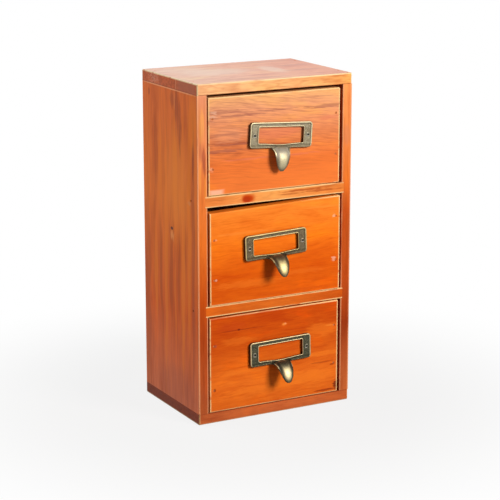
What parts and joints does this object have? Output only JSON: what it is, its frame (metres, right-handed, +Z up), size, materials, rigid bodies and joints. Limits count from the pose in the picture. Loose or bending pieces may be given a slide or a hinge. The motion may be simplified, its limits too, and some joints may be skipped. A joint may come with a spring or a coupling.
{
  "type": "desktop drawer unit",
  "caption": "Upright wooden desktop case of small stacked drawers that slide straight out, each front with an antique brass label frame and finger tongue.",
  "frame": {"origin": "centre of the case's footprint, on the surface that it stands on", "axes": "+Z up; the drawers open towards -Y; +X to the right seen from the front"},
  "size_m": [0.133, 0.1122, 0.263],
  "materials": {
    "top_wood": "satin stain and varnish",
    "case_wood": "satin stain and varnish",
    "divider_wood": "satin stain and varnish",
    "upper_front_wood": "satin stain and varnish",
    "middle_front_wood": "satin stain and varnish",
    "lower_front_wood": "satin stain and varnish",
    "box_wood": "thin matt stain over sawn pine",
    "plywood": "thin matt stain over plywood",
    "antique_brass": "antiqued, rubbed bright on rims and edges",
    "screw_metal": "darkened",
    "nail_steel": "dull wire steel"
  },
  "bodies": {
    "case": {"top_board": "top_wood", "bottom_board": "case_wood", "left_side": "case_wood", "right_side": "case_wood", "upper_divider": "divider_wood", "lower_divider": "divider_wood", "back_panel": "plywood", "case_brads": "nail_steel", "panel_pins": "nail_steel"},
    "upper_drawer": {"upper_front": "upper_front_wood", "upper_left_side": "box_wood", "upper_right_side": "box_wood", "upper_back": "box_wood", "upper_base": "plywood", "upper_brads": "nail_steel", "upper_pull": "antique_brass", "upper_screws": "screw_metal"},
    "middle_drawer": {"middle_front": "middle_front_wood", "middle_left_side": "box_wood", "middle_right_side": "box_wood", "middle_back": "box_wood", "middle_base": "plywood", "middle_brads": "nail_steel", "middle_pull": "antique_brass", "middle_screws": "screw_metal"},
    "lower_drawer": {"lower_front": "lower_front_wood", "lower_left_side": "box_wood", "lower_right_side": "box_wood", "lower_back": "box_wood", "lower_base": "plywood", "lower_brads": "nail_steel", "lower_pull": "antique_brass", "lower_screws": "screw_metal"}
  },
  "joints": [
    {"name": "upper_slide", "type": "slide", "parent": "case", "child": "upper_drawer", "axis": [0, -1, 0], "range_m": [0, 0.08]},
    {"name": "middle_slide", "type": "slide", "parent": "case", "child": "middle_drawer", "axis": [0, -1, 0], "range_m": [0, 0.08]},
    {"name": "lower_slide", "type": "slide", "parent": "case", "child": "lower_drawer", "axis": [0, -1, 0], "range_m": [0, 0.08]}
  ]
}
